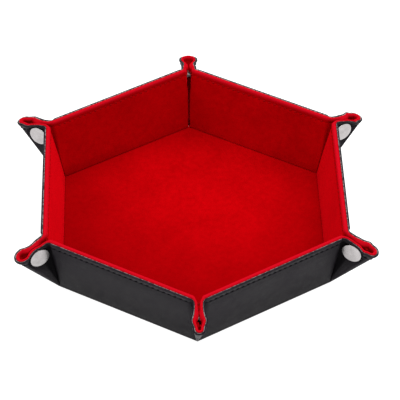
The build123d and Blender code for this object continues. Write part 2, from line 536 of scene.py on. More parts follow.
@dataclass(frozen=True)
class LeatherFinish:
    """Black synthetic leather with a fine pebble grain, rubbed along its edges, with painted shade in the
    folds and low on the walls.
    """

    dark: tuple = (0.0034, 0.0027, 0.0038, 1.0)
    light: tuple = (0.0085, 0.0068, 0.0094, 1.0)
    rubbed: tuple = (0.040, 0.036, 0.041, 1.0)
    backing: tuple = (0.32, 0.28, 0.28, 1.0)
    # Near-black colour of painted shade, where the edge value is below 0: on the ears' leather next to the
    # walls, along the walls' fold and low on the walls.
    fold: tuple = (0.0004, 0.0004, 0.0005, 1.0)
    pebble_scale: float = 1100.0
    tick_size: float = 1.3 * MM
    wrinkle_size: float = 2.2 * MM
    grain_depth: float = 0.12 * MM
    gloss: tuple = (0.42, 0.56)

    def make(self, effects: SharedEffects) -> bpy.types.Material:
        """Build the material.

        Args:
            effects: Shared shader groups.

        Returns:
            The leather material.
        """
        material, nodes, shader = start_material("black_leather")
        place, edge = nodes.place(), nodes.edge()
        mottle = nodes.group(effects.mottle)
        wear = nodes.group(effects.wear, Amount=0.55)
        inputs = {"Vector": place, "Scale": self.pebble_scale}
        pebble = nodes.add("ShaderNodeTexVoronoi", inputs, feature="DISTANCE_TO_EDGE")
        cells = nodes.spread(pebble.outputs["Distance"], 0.0, 0.18)
        tone = nodes.mix(mottle.outputs["Tone"], self.dark, self.light)
        worn = nodes.mix(wear.outputs["Mask"], tone, self.rubbed)
        ticks = nodes.spread(nodes.noise(place, 1.0 / self.tick_size, 1.0), 0.42, 0.58, (0.15, 1.0))
        bare = nodes.maths("MULTIPLY", nodes.spread(edge, 0.86, 0.97), ticks)
        worn = nodes.mix(bare, worn, self.backing)
        wrinkle = nodes.noise(place, 1.0 / self.wrinkle_size, 4.0)
        satin = nodes.spread(mottle.outputs["Tone"], 0.0, 1.0, self.gloss)
        matt = nodes.spread(edge, -1.0, -0.3, (1.0, 0.0))
        # Base colour: painted shade towards the near-black fold colour where the edge value is below 0.
        nodes.fill(shader, {
            "Base Color": nodes.mix(nodes.spread(edge, -1.0, -0.05), self.fold, worn),
            "Normal": nodes.relief(nodes.maths("ADD", cells, wrinkle), 0.45, self.grain_depth),
            "Roughness": nodes.maths("MAXIMUM", satin, matt),
            "Specular IOR Level": 0.075,
            "Specular Tint": (1.0, 0.86, 1.0, 1.0),
        })
        return material


@dataclass(frozen=True)
class ThreadFinish:
    """Twisted sewing thread of one colour."""

    name: str
    dark: tuple
    light: tuple
    twist_scale: float = 4500.0
    twist_depth: float = 0.08 * MM

    def make(self, effects: SharedEffects) -> bpy.types.Material:
        """Build the material.

        Args:
            effects: Shared shader groups.

        Returns:
            The thread material.
        """
        material, nodes, shader = start_material(self.name)
        fibre = nodes.group(effects.fibre, Scale=self.twist_scale)
        nodes.fill(shader, {
            "Base Color": nodes.mix(fibre.outputs["Tone"], self.dark, self.light),
            "Normal": nodes.relief(fibre.outputs["Height"], 0.5, self.twist_depth),
            "Roughness": 0.75,
            "Specular IOR Level": 0.05,
        })
        return material


@dataclass(frozen=True)
class NickelFinish:
    """Satin nickel of the snaps, with fine rubbing marks, and painted shade on the stud and socket pieces
    inside the ear.
    """

    bright: tuple = (0.45, 0.43, 0.43, 1.0)
    dull: tuple = (0.34, 0.32, 0.32, 1.0)
    # Dark colour of painted shade on the pieces near the ear's middle plane, inside the ear.
    inner: tuple = (0.060, 0.055, 0.052, 1.0)
    inner_angle: tuple = (1.0, 1.3)
    gloss: tuple = (0.26, 0.18)

    def make(self, effects: SharedEffects) -> bpy.types.Material:
        """Build the material.

        Args:
            effects: Shared shader groups.

        Returns:
            The metal material.
        """
        material, nodes, shader = start_material("satin_nickel")
        mottle = nodes.group(effects.mottle, Large=280.0, Small=2200.0)
        cap = nodes.mix(mottle.outputs["Tone"], self.dull, self.bright)
        place = nodes.add("ShaderNodeSeparateXYZ", {0: nodes.place()})
        around = nodes.maths("ARCTAN2", place.outputs["Y"], place.outputs["X"])
        from_middle = nodes.maths("SUBTRACT", HALF_CORNER, nodes.maths("PINGPONG", around, HALF_CORNER))
        outside = nodes.spread(from_middle, *(math.radians(angle) for angle in self.inner_angle))
        # Base colour: painted shade on the pieces within about a degree of the ear's middle plane.
        nodes.fill(shader, {
            "Base Color": nodes.mix(outside, self.inner, cap),
            "Roughness": nodes.spread(mottle.outputs["Tone"], 0.0, 1.0, self.gloss),
            "Metallic": 1.0,
        })
        return material


@dataclass(frozen=True)
class BoardFinish:
    """Red-dyed pressed board inside the base and walls."""

    dark: tuple = (0.10, 0.004, 0.005, 1.0)
    light: tuple = (0.17, 0.008, 0.009, 1.0)
    fibre_scale: float = 700.0

    def make(self, effects: SharedEffects) -> bpy.types.Material:
        """Build the material.

        Args:
            effects: Shared shader groups.

        Returns:
            The board material.
        """
        material, nodes, shader = start_material("red_board")
        fibre = nodes.group(effects.fibre, Scale=self.fibre_scale)
        tone = nodes.mix(fibre.outputs["Tone"], self.dark, self.light)
        nodes.fill(shader, {"Base Color": tone, "Roughness": 0.9, "Specular IOR Level": 0.2})
        return material


BLACK_THREAD = ThreadFinish("black_thread", (0.002, 0.002, 0.003, 1), (0.006, 0.006, 0.008, 1))
RED_THREAD = ThreadFinish("red_thread", (0.22, 0.0004, 0.001, 1), (0.33, 0.0008, 0.002, 1))


@dataclass(frozen=True)
class Finishes:
    """Every finish, made once: sheet and thread by slot, and the metal and the boards of the frame."""

    sheets: dict[Slot, bpy.types.Material]
    threads: dict[Slot, bpy.types.Material]
    nickel: bpy.types.Material
    board: bpy.types.Material

    @classmethod
    def make(cls) -> "Finishes":
        """Build the shared effects and each material.

        Returns:
            All the finishes.
        """
        effects = SharedEffects()
        velvet, leather = VelvetFinish().make(effects), LeatherFinish().make(effects)
        black, red = BLACK_THREAD.make(effects), RED_THREAD.make(effects)
        return cls(
            sheets={Slot.LEATHER: leather, Slot.VELVET: velvet},
            threads={Slot.LEATHER: black, Slot.VELVET: red},
            nickel=NickelFinish().make(effects),
            board=BoardFinish().make(effects),
        )

    def dress_layers(self, leather: bpy.types.Object, velvet: bpy.types.Object, body: str) -> None:
        """Dress a body's two layers and let them stand for its cover and lining in the frame.

        Args:
            leather: The outer layer.
            velvet: The inner layer.
            body: Name of the body.
        """
        for piece, slot, word in ((leather, Slot.LEATHER, "cover"), (velvet, Slot.VELVET, "lining")):
            dress(piece, self.sheets[slot])
            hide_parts(f"{body}_{word}")


@dataclass(frozen=True)
class RimShape:
    """Rolled velvet rim, hemmed leather edge and their seam, which the walls and the ears share.

    Seam rows are distances in millimetres below the seam.
    """

    seam_rows: tuple = (1.6, 1.0, 0.55, 0.25, 0.0, -0.25, -0.55, -1.1)
    seam_drop: float = 3.9 * MM
    seam_width: float = 0.55 * MM
    velvet_seam_sink: float = 0.26 * MM
    leather_seam_sink: float = 0.22 * MM
    velvet_swell: float = 0.28 * MM
    leather_hem: float = 0.35 * MM
    leather_drop: float = 0.22 * MM
    leather_round: float = 0.3 * MM
    leather_edge: float = 1.2 * MM
    edge_wear: float = 0.25
    wear_width: float = 1 * MM
    cut_wear: float = 0.45
    roll_steps: int = 7
    cut_steps: int = 3
    back_gap: float = 0.03 * MM

    def drops(self, last: float) -> np.ndarray:
        """Distances below the rim where rows lie, close together at the seam."""
        about_seam = self.seam_drop + np.array(self.seam_rows) * MM
        return np.concatenate([about_seam, np.linspace(about_seam[-1], last, 4)[1:]])

    def velvet_depth(self, drop: float, thickness: float) -> float:
        """Depth of the velvet's face: plump along the rim and pulled in at the seam."""
        plump = self.velvet_swell * float(1 - smooth_step(drop, 0.35 * self.seam_drop, self.seam_drop))
        return thickness + plump - self.velvet_seam_sink * float(hump(drop, self.seam_drop, self.seam_width))

    def velvet_rows(self, thickness: float) -> tuple[list, list]:
        """Shown and hidden rows from just under the seam over the half-round rim.

        Args:
            thickness: Velvet thickness in metres.

        Returns:
            The two lists of rows.
        """
        radius = (thickness + self.velvet_swell) / 2
        shown, hidden = [], []
        for drop in self.drops(radius * 1.1):
            # Edge value of the velvet's shown rows near the rim, which the velvet turns into a painted
            # highlight.
            lit = float(1 - smooth_step(drop, 0.6 * radius, 0.7 * self.seam_drop))
            shown.append((1, -drop, self.velvet_depth(drop, thickness), 1, lit))
            hidden.append((1, -drop, self.back_gap, 1, 0))
        # The rolled rim carries the full painted highlight.
        for step in range(self.roll_steps):
            angle = math.pi / 2 * (step + 0.5) / self.roll_steps
            drop = radius * (1 - math.sin(angle))
            swell = radius * math.cos(angle)
            shown.append((1, -drop, radius + swell, 1, 1.0))
            hidden.append((1, -drop, radius - swell + self.back_gap, 1, 1.0))
        return shown, hidden

    def leather_rows(self, thickness: float) -> tuple[list, list]:
        """Shown and hidden rows from just under the seam to the cut edge.

        Args:
            thickness: Leather thickness in metres.

        Returns:
            The two lists of rows.
        """
        shown, hidden = [], []
        for drop in self.drops(self.leather_edge):
            sink = self.leather_seam_sink * float(hump(drop, self.seam_drop, self.seam_width))
            hem = self.leather_hem * float(1 - smooth_step(drop, 0.3 * self.seam_drop, 0.9 * self.seam_drop))
            wear = self.edge_wear * float(hump(drop, self.leather_edge, self.wear_width))
            shown.append((1, -drop, sink - thickness - hem, 1, wear))
            hidden.append((1, -drop, -self.back_gap, 1, 0))
        for step in range(self.cut_steps):
            angle = math.pi / 2 * step / (self.cut_steps - 1)
            drop = self.leather_drop + self.leather_round * (1 - math.sin(angle))
            inset = self.leather_round * (1 - math.cos(angle))
            shown.append((1, -drop, inset - thickness - self.leather_hem, 1, self.cut_wear))
            hidden.append((1, -drop, -self.back_gap - 0.3 * inset, 1, 1.0))
        return shown, hidden

    def seam_sides(self, sizes: TraySizes) -> tuple:
        """Both sides of the seam.

        Args:
            sizes: The tray's sizes.

        Returns:
            Word, depth, sign of the outward direction and slot of each side's stitches.
        """
        return (
            ("outer", -sizes.leather + 0.5 * self.leather_seam_sink, 1, Slot.LEATHER),
            ("inner", sizes.velvet - 0.75 * self.velvet_seam_sink, -1, Slot.VELVET),
        )


@dataclass(frozen=True)
class Stitch:
    """One stitch of the rim seam: a short plump length of thread with rounded ends."""

    length: float = 2.2 * MM
    pitch: float = 3.5 * MM
    radius: float = 0.46 * MM
    slant: float = 0.10
    end_sink: float = 0.8
    rings: int = 7
    spokes: int = 8
    crisp: float = 70.0

    def points(self) -> np.ndarray:
        """Rings of points along X, sunk at both ends as a pulled stitch is.

        Returns:
            The points of one stitch.
        """
        rows = []
        for ring in range(self.rings):
            share = -1 + 2 * ring / (self.rings - 1)
            swell = self.radius * math.sqrt(max(1 - abs(share) ** 3, 0.03))
            sink = -self.end_sink * self.radius * share**4
            for spoke in range(self.spokes):
                angle = 2 * math.pi * spoke / self.spokes
                side = swell * math.cos(angle) + self.slant * share * self.length
                rows.append((share * self.length / 2, side, swell * math.sin(angle) + sink))
        return np.array(rows)

    def faces(self) -> list:
        """Faces of one stitch, closed at both ends.

        Returns:
            Corner numbers of each face.
        """
        made = []
        for ring in range(self.rings - 1):
            for spoke in range(self.spokes):
                beside = (spoke + 1) % self.spokes
                low, high = ring * self.spokes, (ring + 1) * self.spokes
                made.append([low + spoke, high + spoke, high + beside, low + beside])
        made.append(list(range(self.spokes)))
        made.append(list(range((self.rings - 1) * self.spokes, self.rings * self.spokes)))
        return made

    def sew(self, name: str, line: np.ndarray, normals: np.ndarray) -> bpy.types.Object:
        """Lay stitches at an even pitch along a line.

        Args:
            name: Name of the piece.
            line: Points of the seam, in order.
            normals: Outward direction at each point.

        Returns:
            One object that holds all the stitches of the line.
        """
        run = run_along(line)
        count = max(int((run[-1] - self.length) // self.pitch) + 1, 1)
        first = (run[-1] - (count - 1) * self.pitch) / 2
        shape, pattern = self.points(), self.faces()
        points, faces = [], []
        for number in range(count):
            spots = first + number * self.pitch + np.array((-0.5, 0.0, 0.5)) * self.length
            tail, middle, head = (np.array([np.interp(s, run, line[:, k]) for k in range(3)]) for s in spots)
            outward = unit(np.array([np.interp(spots[1], run, normals[:, k]) for k in range(3)]))
            along = unit(head - tail)
            across = unit(np.cross(outward, along))
            outward = np.cross(along, across)
            faces += [[corner + len(points) * len(shape) for corner in face] for face in pattern]
            points.append(middle + shape @ np.stack([along, across, outward]))
        stacked = np.concatenate(points)
        return finished_mesh(name, stacked, faces, np.zeros(len(stacked)), self.crisp)


@dataclass(frozen=True)
class FoldShape:
    """Where the base's sheets end and the walls' begin, and the creases that walls and ears share."""

    leather_skirt: float = 6.0 * MM
    velvet_skirt: float = 10.0 * MM
    pocket: float = 1.38 * MM
    pocket_edge: float = 2.5 * MM
    crease_groove: float = 0.75 * MM
    slot: float = 0.45 * MM
    middle_gap: float = 0.02 * MM


@dataclass(frozen=True)
class EarMood:
    """How one ear differs from the plain shape, as handling has left it.

    Lift is in degrees at the base corner. Length, belly (the loop's width), neck (in front of the loop), fold
    (its roundness), pile (the velvet's thickness) and slot (between the velvets of the two walls) are factors
    on the plain ear. Shade is how strongly painted shade darkens the velvet down in the slot.
    """

    lift: float = 0.0
    length: float = 1.0
    belly: float = 1.0
    neck: float = 1.0
    fold: float = 1.0
    pile: float = 1.0
    slot: float = 1.0
    shade: float = 0.0


EAR_MOODS = {
    "right_back": EarMood(lift=0.05, belly=1.6, fold=1.3),
    "back": EarMood(lift=0.05, belly=1.25, neck=1.5, fold=1.6, pile=0.7, slot=1.6, shade=0.75),
    "left_back": EarMood(lift=-0.3, length=1.02, belly=0.95, fold=1.1),
    "left_front": EarMood(lift=0.1, length=0.96, belly=1.35, neck=1.2, fold=1.45, pile=0.85),
    "front": EarMood(lift=0.1, belly=0.75, fold=0.88, pile=0.85),
    "right_front": EarMood(lift=0.1, length=0.99, belly=1.15, fold=1.2, pile=0.9),
}


@dataclass(frozen=True)
class EarCurve:
    """Line of an ear half along its rays: out of the wall, in to the pinch and round the loop."""

    sizes: TraySizes
    pinch: float = 2.35 * MM
    pinch_end: float = 5.4 * MM
    belly: float = 4.3 * MM
    belly_share: float = 0.60
    tip_radius: float = 2.8 * MM
    bend_steps: int = 10
    hold_steps: int = 3
    swell_steps: int = 12
    loop_steps: int = 10

    @staticmethod
    def ease(start: tuple, end: tuple, count: int) -> np.ndarray:
        """Points of a curve that leaves and arrives straight outwards.

        Args:
            start: First point.
            end: Last point, which is left out.
            count: How many points are made.

        Returns:
            The curve's points.
        """
        share = np.linspace(0, 1, count, endpoint=False)[:, None]
        sideways = np.array(start) + (np.array(end) - np.array(start)) * share**2 * (3 - 2 * share)
        outwards = np.array(start) + (np.array(end) - np.array(start)) * share
        return np.stack([sideways[:, 0], outwards[:, 1]], axis=1)

    def flat_points(self, gap: float, reach: float, turn: float, mood: EarMood) -> np.ndarray:
        """Points (sideways from the ear's middle, out along the rim).

        Args:
            gap: Sideways place of the end crease at the rim.
            reach: Place of the ear's tip along the rim.
            turn: Angle in radians by which the web turns from the wall's direction to straight outwards.
            mood: How this ear differs.

        Returns:
            The line's points from the crease to the ear's fold.
        """
        neck, fold = self.pinch * mood.neck, self.tip_radius * mood.fold
        radius = (gap - neck) / (1 - math.cos(turn))
        start = radius * math.sin(turn)
        angles = np.linspace(turn, 0, self.bend_steps, endpoint=False)
        middle = np.array((neck + radius, start))
        bend = middle - radius * np.stack([np.cos(angles), np.sin(angles)], axis=1)
        swell = (self.pinch + (self.belly - self.pinch) * mood.belly, self.belly_share * reach)
        last = (fold, reach - self.sizes.leather - fold)
        hold = self.ease((neck, start), (neck, self.pinch_end), self.hold_steps)
        rise = self.ease((neck, self.pinch_end), swell, self.swell_steps)
        fall = self.ease(swell, last, self.swell_steps)
        angles = np.linspace(0, math.pi / 2, self.loop_steps + 1)
        loop = np.stack([np.cos(angles), np.sin(angles)], axis=1) * fold + (0, last[1])
        return np.concatenate([bend, hold, rise, fall, loop])


@dataclass(frozen=True)
class TrayBase:
    """Flat middle of the tray: leather and velvet floor, out to where the walls' sheets begin."""

    sizes: TraySizes
    rim: RimShape
    fold: FoldShape
    floor_swell: float = 0.12 * MM
    wave_size: float = 30 * MM
    middle_share: float = 0.04
    still_share: float = 0.8
    rings: int = 14
    spans: int = 14
    crisp: float = 40.0

    def plate(self, name: str, apothem: float, low: float, high: float, swell: float) -> bpy.types.Object:
        """Six-sided plate with rings of points and a faintly uneven face.

        Args:
            name: Name of the piece.
            apothem: Distance from the middle to a side.
            low: Height of the underside.
            high: Height of the top.
            swell: Height of the unevenness, which fades out at the sides.

        Returns:
            The new object.
        """
        sides = len(WALL_NAMES)
        corners = [
            heading(CORNER_TURN * (turn - 0.5)) * apothem / math.cos(HALF_CORNER)
            for turn in range(sides)
        ]
        outline = []
        for turn in range(sides):
            here, there = corners[turn], corners[(turn + 1) % sides]
            outline += [here + (there - here) * step / self.spans for step in range(self.spans)]
        outline = np.array(outline)
        shares = np.linspace(self.middle_share, 1, self.rings)
        top = np.array([outline * share for share in shares])
        bottom = top.copy()
        fade = 1 - smooth_step(shares, self.still_share, 1.0)
        top[..., 2] = high + swell * ripple(top, self.wave_size, apothem * 100) * fade[:, None]
        bottom[..., 2] = low
        grid = np.concatenate([top, bottom[::-1]]).transpose(1, 0, 2)
        columns, rows = grid.shape[:2]
        index = np.arange(columns * rows).reshape(columns, rows)
        beside = np.roll(index, -1, axis=0)
        corners = [index[:, :-1], beside[:, :-1], beside[:, 1:], index[:, 1:]]
        quads = np.stack(corners, axis=-1).reshape(-1, 4).tolist()
        quads += [index[:, 0].tolist(), index[:, -1].tolist()]
        return finished_mesh(name, grid.reshape(-1, 3), quads, np.zeros(columns * rows), self.crisp)

    def build(self, finishes: Finishes) -> list[bpy.types.Object]:
        """Make the base's leather and velvet.

        Args:
            finishes: All materials.

        Returns:
            The pieces.
        """
        size, fold = self.sizes, self.fold
        edge = size.apothem - fold.leather_skirt
        leather = self.plate("base_leather", edge, 0.0, size.leather - self.rim.back_gap, 0.0)
        edge = size.apothem - fold.velvet_skirt
        top = size.leather + size.velvet
        velvet = self.plate("base_velvet", edge, size.leather + fold.pocket, top, self.floor_swell)
        finishes.dress_layers(leather, velvet, "base")
        for piece in (leather, velvet):
            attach(piece, "base")
        return [leather, velvet]


@dataclass(frozen=True)
class TrayWall:
    """One wall: leather and velvet that come out of the base, bend up at the fold and end at the rim.

    The row fields are distances in millimetres from the fold line, over the floor or up the wall.
    """

    sizes: TraySizes
    rim: RimShape
    fold: FoldShape
    stitch: Stitch
    name: str
    turn: float
    end_bend: float
    velvet_floor_rows: tuple = (10.0, 8.6, 7.2, 5.8, 4.6, 3.6, 2.85, 2.15)
    velvet_wall_rows: tuple = (2.15, 2.85, 3.8, 5.2, 7.5, 10.5, 14, 18, 22, 26, 30, 33)
    leather_floor_rows: tuple = (6.0, 4.5, 3.2, 2.0, 1.0)
    leather_wall_rows: tuple = (0.7, 1.6, 2.6, 3.6, 5.0, 7.5, 11, 15, 19, 23, 27, 31, 34)
    last_drop: float = 6.9 * MM
    fold_groove: float = 0.75 * MM
    # Painted shade along the wall's fold line, given as an edge value below 0.
    fold_painted_shade: float = -0.4
    fold_rows: int = 7
    # Painted shade low on the wall's leather: its strength at the bottom and the rise over which it fades.
    painted_bottom_shade: float = 0.6
    painted_bottom_shade_rise: tuple = (1 * MM, 32 * MM)
    swell_rise: tuple = (2 * MM, 6 * MM)
    panel_swell: float = 0.14 * MM
    velvet_waves: float = -0.16 * MM
    leather_waves: float = 0.10 * MM
    wave_size: float = 22 * MM
    wave_rise: tuple = (4 * MM, 10 * MM)
    wave_drop: tuple = (9 * MM, 5 * MM)
    slot_rise: tuple = (1.0 * MM, 3 * MM)
    mitre_rise: tuple = (0.8 * MM, 3.0 * MM)
    groove_share: tuple = (0.98, 1.0)
    leather_blend: float = 3.0 * MM
    velvet_blend: float = 5.0 * MM
    seam_inset: float = 0.8 * MM
    seam_points: int = 60
    columns: int = 44
    crowding: float = 0.35
    nose_steps: int = 6

    def place(self, along: np.ndarray, out: np.ndarray, up: np.ndarray) -> np.ndarray:
        """Points from distances along the fold, outwards from it and above it.

        Args:
            along: Distances along the fold from its middle.
            out: Distances outwards.
            up: Distances upwards.

        Returns:
            The places.
        """
        origin = heading(self.turn) * self.sizes.apothem + UP * self.sizes.leather
        level = along[..., None] * heading(self.turn + 90) + out[..., None] * heading(self.turn)
        return origin + level + up[..., None] * UP

    def section_place(self, section: Section, depth: np.ndarray) -> tuple[np.ndarray, np.ndarray]:
        """Outward and upward place of a section's rows.

        Args:
            section: The rows.
            depth: Their depths, which may differ from the section's own.

        Returns:
            Distances outwards and upwards from the fold.
        """
        bend = section.turn * self.sizes.slope
        rise = section.rise(self.sizes.wall_height)
        return rise * np.cos(bend) - depth * np.sin(bend), rise * np.sin(bend) + depth * np.cos(bend)

    def velvet_section(self) -> Section:
        """Velvet from the floor, over the sunk fold line and up to the rolled rim, hollow over the boards.

        Returns:
            The closed section.
        """
        thick, pocket = self.sizes.velvet, self.fold.pocket
        shown, hidden = [], []
        for rows, sign, turn in ((self.velvet_floor_rows, -1, 0), (self.velvet_wall_rows, 1, 1)):
            for away in np.array(rows) * MM:
                shown.append((0, sign * away, thick, turn, 0))
                over_board = away > self.fold.pocket_edge
                hidden.append((0, sign * away, pocket if over_board else self.rim.back_gap, turn, 0))
            if turn == 0:
                corner = thick / math.cos(self.sizes.slope / 2) - self.fold_groove
                shown.append((0, 0, corner, 0.5, 0))
                hidden.append((0, 0, self.rim.back_gap, 0.5, 0))
        shown.append((1, -self.last_drop, thick, 1, 0))
        hidden.append((1, -self.last_drop, pocket, 1, 0))
        rim_shown, rim_hidden = self.rim.velvet_rows(thick)
        return Section.from_rows(shown + rim_shown, hidden + rim_hidden)

    def leather_section(self) -> Section:
        """Leather from under the base, round the fold and up to its cut edge at the rim.

        Returns:
            The closed section.
        """
        thick = self.sizes.leather
        shown, hidden = [], []
        for inset in np.array(self.leather_floor_rows) * MM:
            shown.append((0, -inset, -thick, 0, 0))
            hidden.append((0, -inset, -self.rim.back_gap, 0, 0))
        for share in np.linspace(0, 1, self.fold_rows):
            shown.append((0, 0, -thick, share, self.fold_painted_shade))
            hidden.append((0, 0, -3 * self.rim.back_gap, share, 0))
        for rise in np.array(self.leather_wall_rows) * MM:
            swell = self.panel_swell * float(smooth_step(rise, *self.swell_rise))
            # Painted shade: the leather darkens towards the bottom of the wall.
            bottom_shade = self.painted_bottom_shade * float(1 - smooth_step(rise, *self.painted_bottom_shade_rise))
            shown.append((0, rise, -thick - swell, 1, -bottom_shade))
            hidden.append((0, rise, -self.rim.back_gap, 1, 0))
        rim_shown, rim_hidden = self.rim.leather_rows(thick)
        return Section.from_rows(shown + rim_shown, hidden + rim_hidden)

    def spread(self) -> np.ndarray:
        """Shares of the half length where the columns stand, closer together near the ends."""
        even = np.linspace(-1, 1, self.columns)
        return np.sin(even * math.pi / 2) * self.crowding + even * (1 - self.crowding)

    def panel_waves(self, grid: np.ndarray, section: Section, amount: float) -> np.ndarray:
        """Push the sheet's face in and out by a soft unevenness that fades at the folds and the seam.

        Args:
            grid: Points of the sheet, column by column.
            section: Its rows.
            amount: Height of the unevenness.

        Returns:
            The moved points.
        """
        top = self.sizes.wall_height
        rise = section.rise(top)
        fade = 1 - smooth_step(rise, top - self.wave_drop[0], top - self.wave_drop[1])
        waves = ripple(grid, self.wave_size, self.turn) * (smooth_step(rise, *self.wave_rise) * fade)
        return grid + (amount * waves)[..., None] * slope_facing(self.turn, self.sizes.slope)

    def build_velvet(self) -> bpy.types.Object:
        """Velvet of the wall, with a rounded nose past each end crease where the ear turns away.

        Returns:
            The new object.
        """
        size = self.sizes
        section = self.velvet_section()
        rise = section.rise(size.wall_height)
        out, up = self.section_place(section, section.depth)
        side, level = math.sin(HALF_CORNER), math.cos(HALF_CORNER)
        spread_size = math.hypot(side * math.sin(size.slope), level)
        phase = math.atan2(side * math.sin(size.slope), level)
        number = WALL_NAMES.index(self.name)
        shares = self.spread()
        grid = []
        for end, ear in ((-1, EAR_NAMES[number - 1]), (1, EAR_NAMES[number])):
            slot = self.fold.slot * EAR_MOODS[ear].slot
            closed = self.fold.middle_gap
            gap = closed + (slot - closed) * smooth_step(rise * section.turn, *self.slot_rise)
            held_back = np.maximum((gap - side * out) / level, 0)
            reach = (side * rise * np.cos(size.slope) - gap) / np.maximum(section.depth, 1e-6)
            most = np.arcsin(np.clip(reach / spread_size, -1, 1)) - phase
            most = np.where(section.on_wall & (held_back <= 0), np.clip(most, 0, self.end_bend), 0)
            length = size.half_side - held_back
            columns = [self.place(share * length, out, up) for share in shares[shares * end > 0]]
            nose = []
            for step in range(1, self.nose_steps + 1):
                bend = most * step / self.nose_steps
                nose_out, nose_up = self.section_place(section, section.depth * np.cos(bend))
                nose.append(self.place(end * (length + section.depth * np.sin(bend)), nose_out, nose_up))
            grid += columns + nose if end > 0 else nose[::-1] + columns
        grid = self.panel_waves(np.array(grid), section, self.velvet_waves)
        return closed_sheet(f"wall_{self.name}_velvet", grid, section.edge)

    def build_leather(self) -> bpy.types.Object:
        """Leather of the wall, mitred to its neighbours at the base corners and to the ears above.

        Returns:
            The new object.
        """
        size = self.sizes
        section = self.leather_section()
        out = self.section_place(section, section.depth)[0]
        mitre = -section.depth * math.tan(self.end_bend / 2)
        at_corner = (self.fold.middle_gap - math.sin(HALF_CORNER) * out) / math.cos(HALF_CORNER)
        above = np.where(section.on_wall, smooth_step(section.rise(size.wall_height), *self.mitre_rise), 0)
        held_back = at_corner * (1 - above) + mitre * above
        held_back = np.where(section.turn < 0.01, np.maximum(at_corner, 0), held_back)
        columns = []
        for share in self.spread():
            sunk = self.fold.crease_groove * float(smooth_step(np.array(abs(share)), *self.groove_share))
            depth = np.where(section.outside, section.depth + sunk * above, section.depth)
            along = share * (size.half_side - held_back)
            columns.append(self.place(along, *self.section_place(section, depth)))
        grid = self.panel_waves(np.array(columns), section, self.leather_waves)
        return closed_sheet(f"wall_{self.name}_leather", grid, section.edge)

    def build_seams(self) -> list[tuple[bpy.types.Object, Slot]]:
        """Stitches along the rim, outside on the leather and inside on the velvet.

        Returns:
            Each side's stitches with their slot.
        """
        size = self.sizes
        rise = size.wall_height - self.rim.seam_drop
        facing = slope_facing(self.turn, size.slope)
        half = size.half_side - self.seam_inset
        along = np.linspace(-half, half, self.seam_points)
        made = []
        for word, depth, sign, slot in self.rim.seam_sides(size):
            out = np.full_like(along, rise * math.cos(size.slope) - depth * math.sin(size.slope))
            up = np.full_like(along, rise * math.sin(size.slope) + depth * math.cos(size.slope))
            normals = np.tile(sign * facing, (self.seam_points, 1))
            name = f"wall_{self.name}_{word}_stitches"
            made.append((self.stitch.sew(name, self.place(along, out, up), normals), slot))
        return made

    def build(self, finishes: Finishes) -> list[bpy.types.Object]:
        """Make the wall's pieces and tie their stitches to the wall.

        Args:
            finishes: All materials.

        Returns:
            The pieces.
        """
        size = self.sizes
        body = f"wall_{self.name}"
        leather, velvet = self.build_leather(), self.build_velvet()
        finishes.dress_layers(leather, velvet, body)
        middle = np.array(0.0)
        for piece, span in ((leather, self.leather_blend), (velvet, self.velvet_blend)):
            out, up = np.array(span * math.cos(size.slope)), np.array(span * math.sin(size.slope))
            start = self.place(middle, np.array(-span), middle)
            end = self.place(middle, out, up)
            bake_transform(piece)
        pieces = [leather, velvet]
        for piece, slot in self.build_seams():
            dress(piece, finishes.threads[slot])
            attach(piece, body)
            pieces.append(piece)
        return pieces


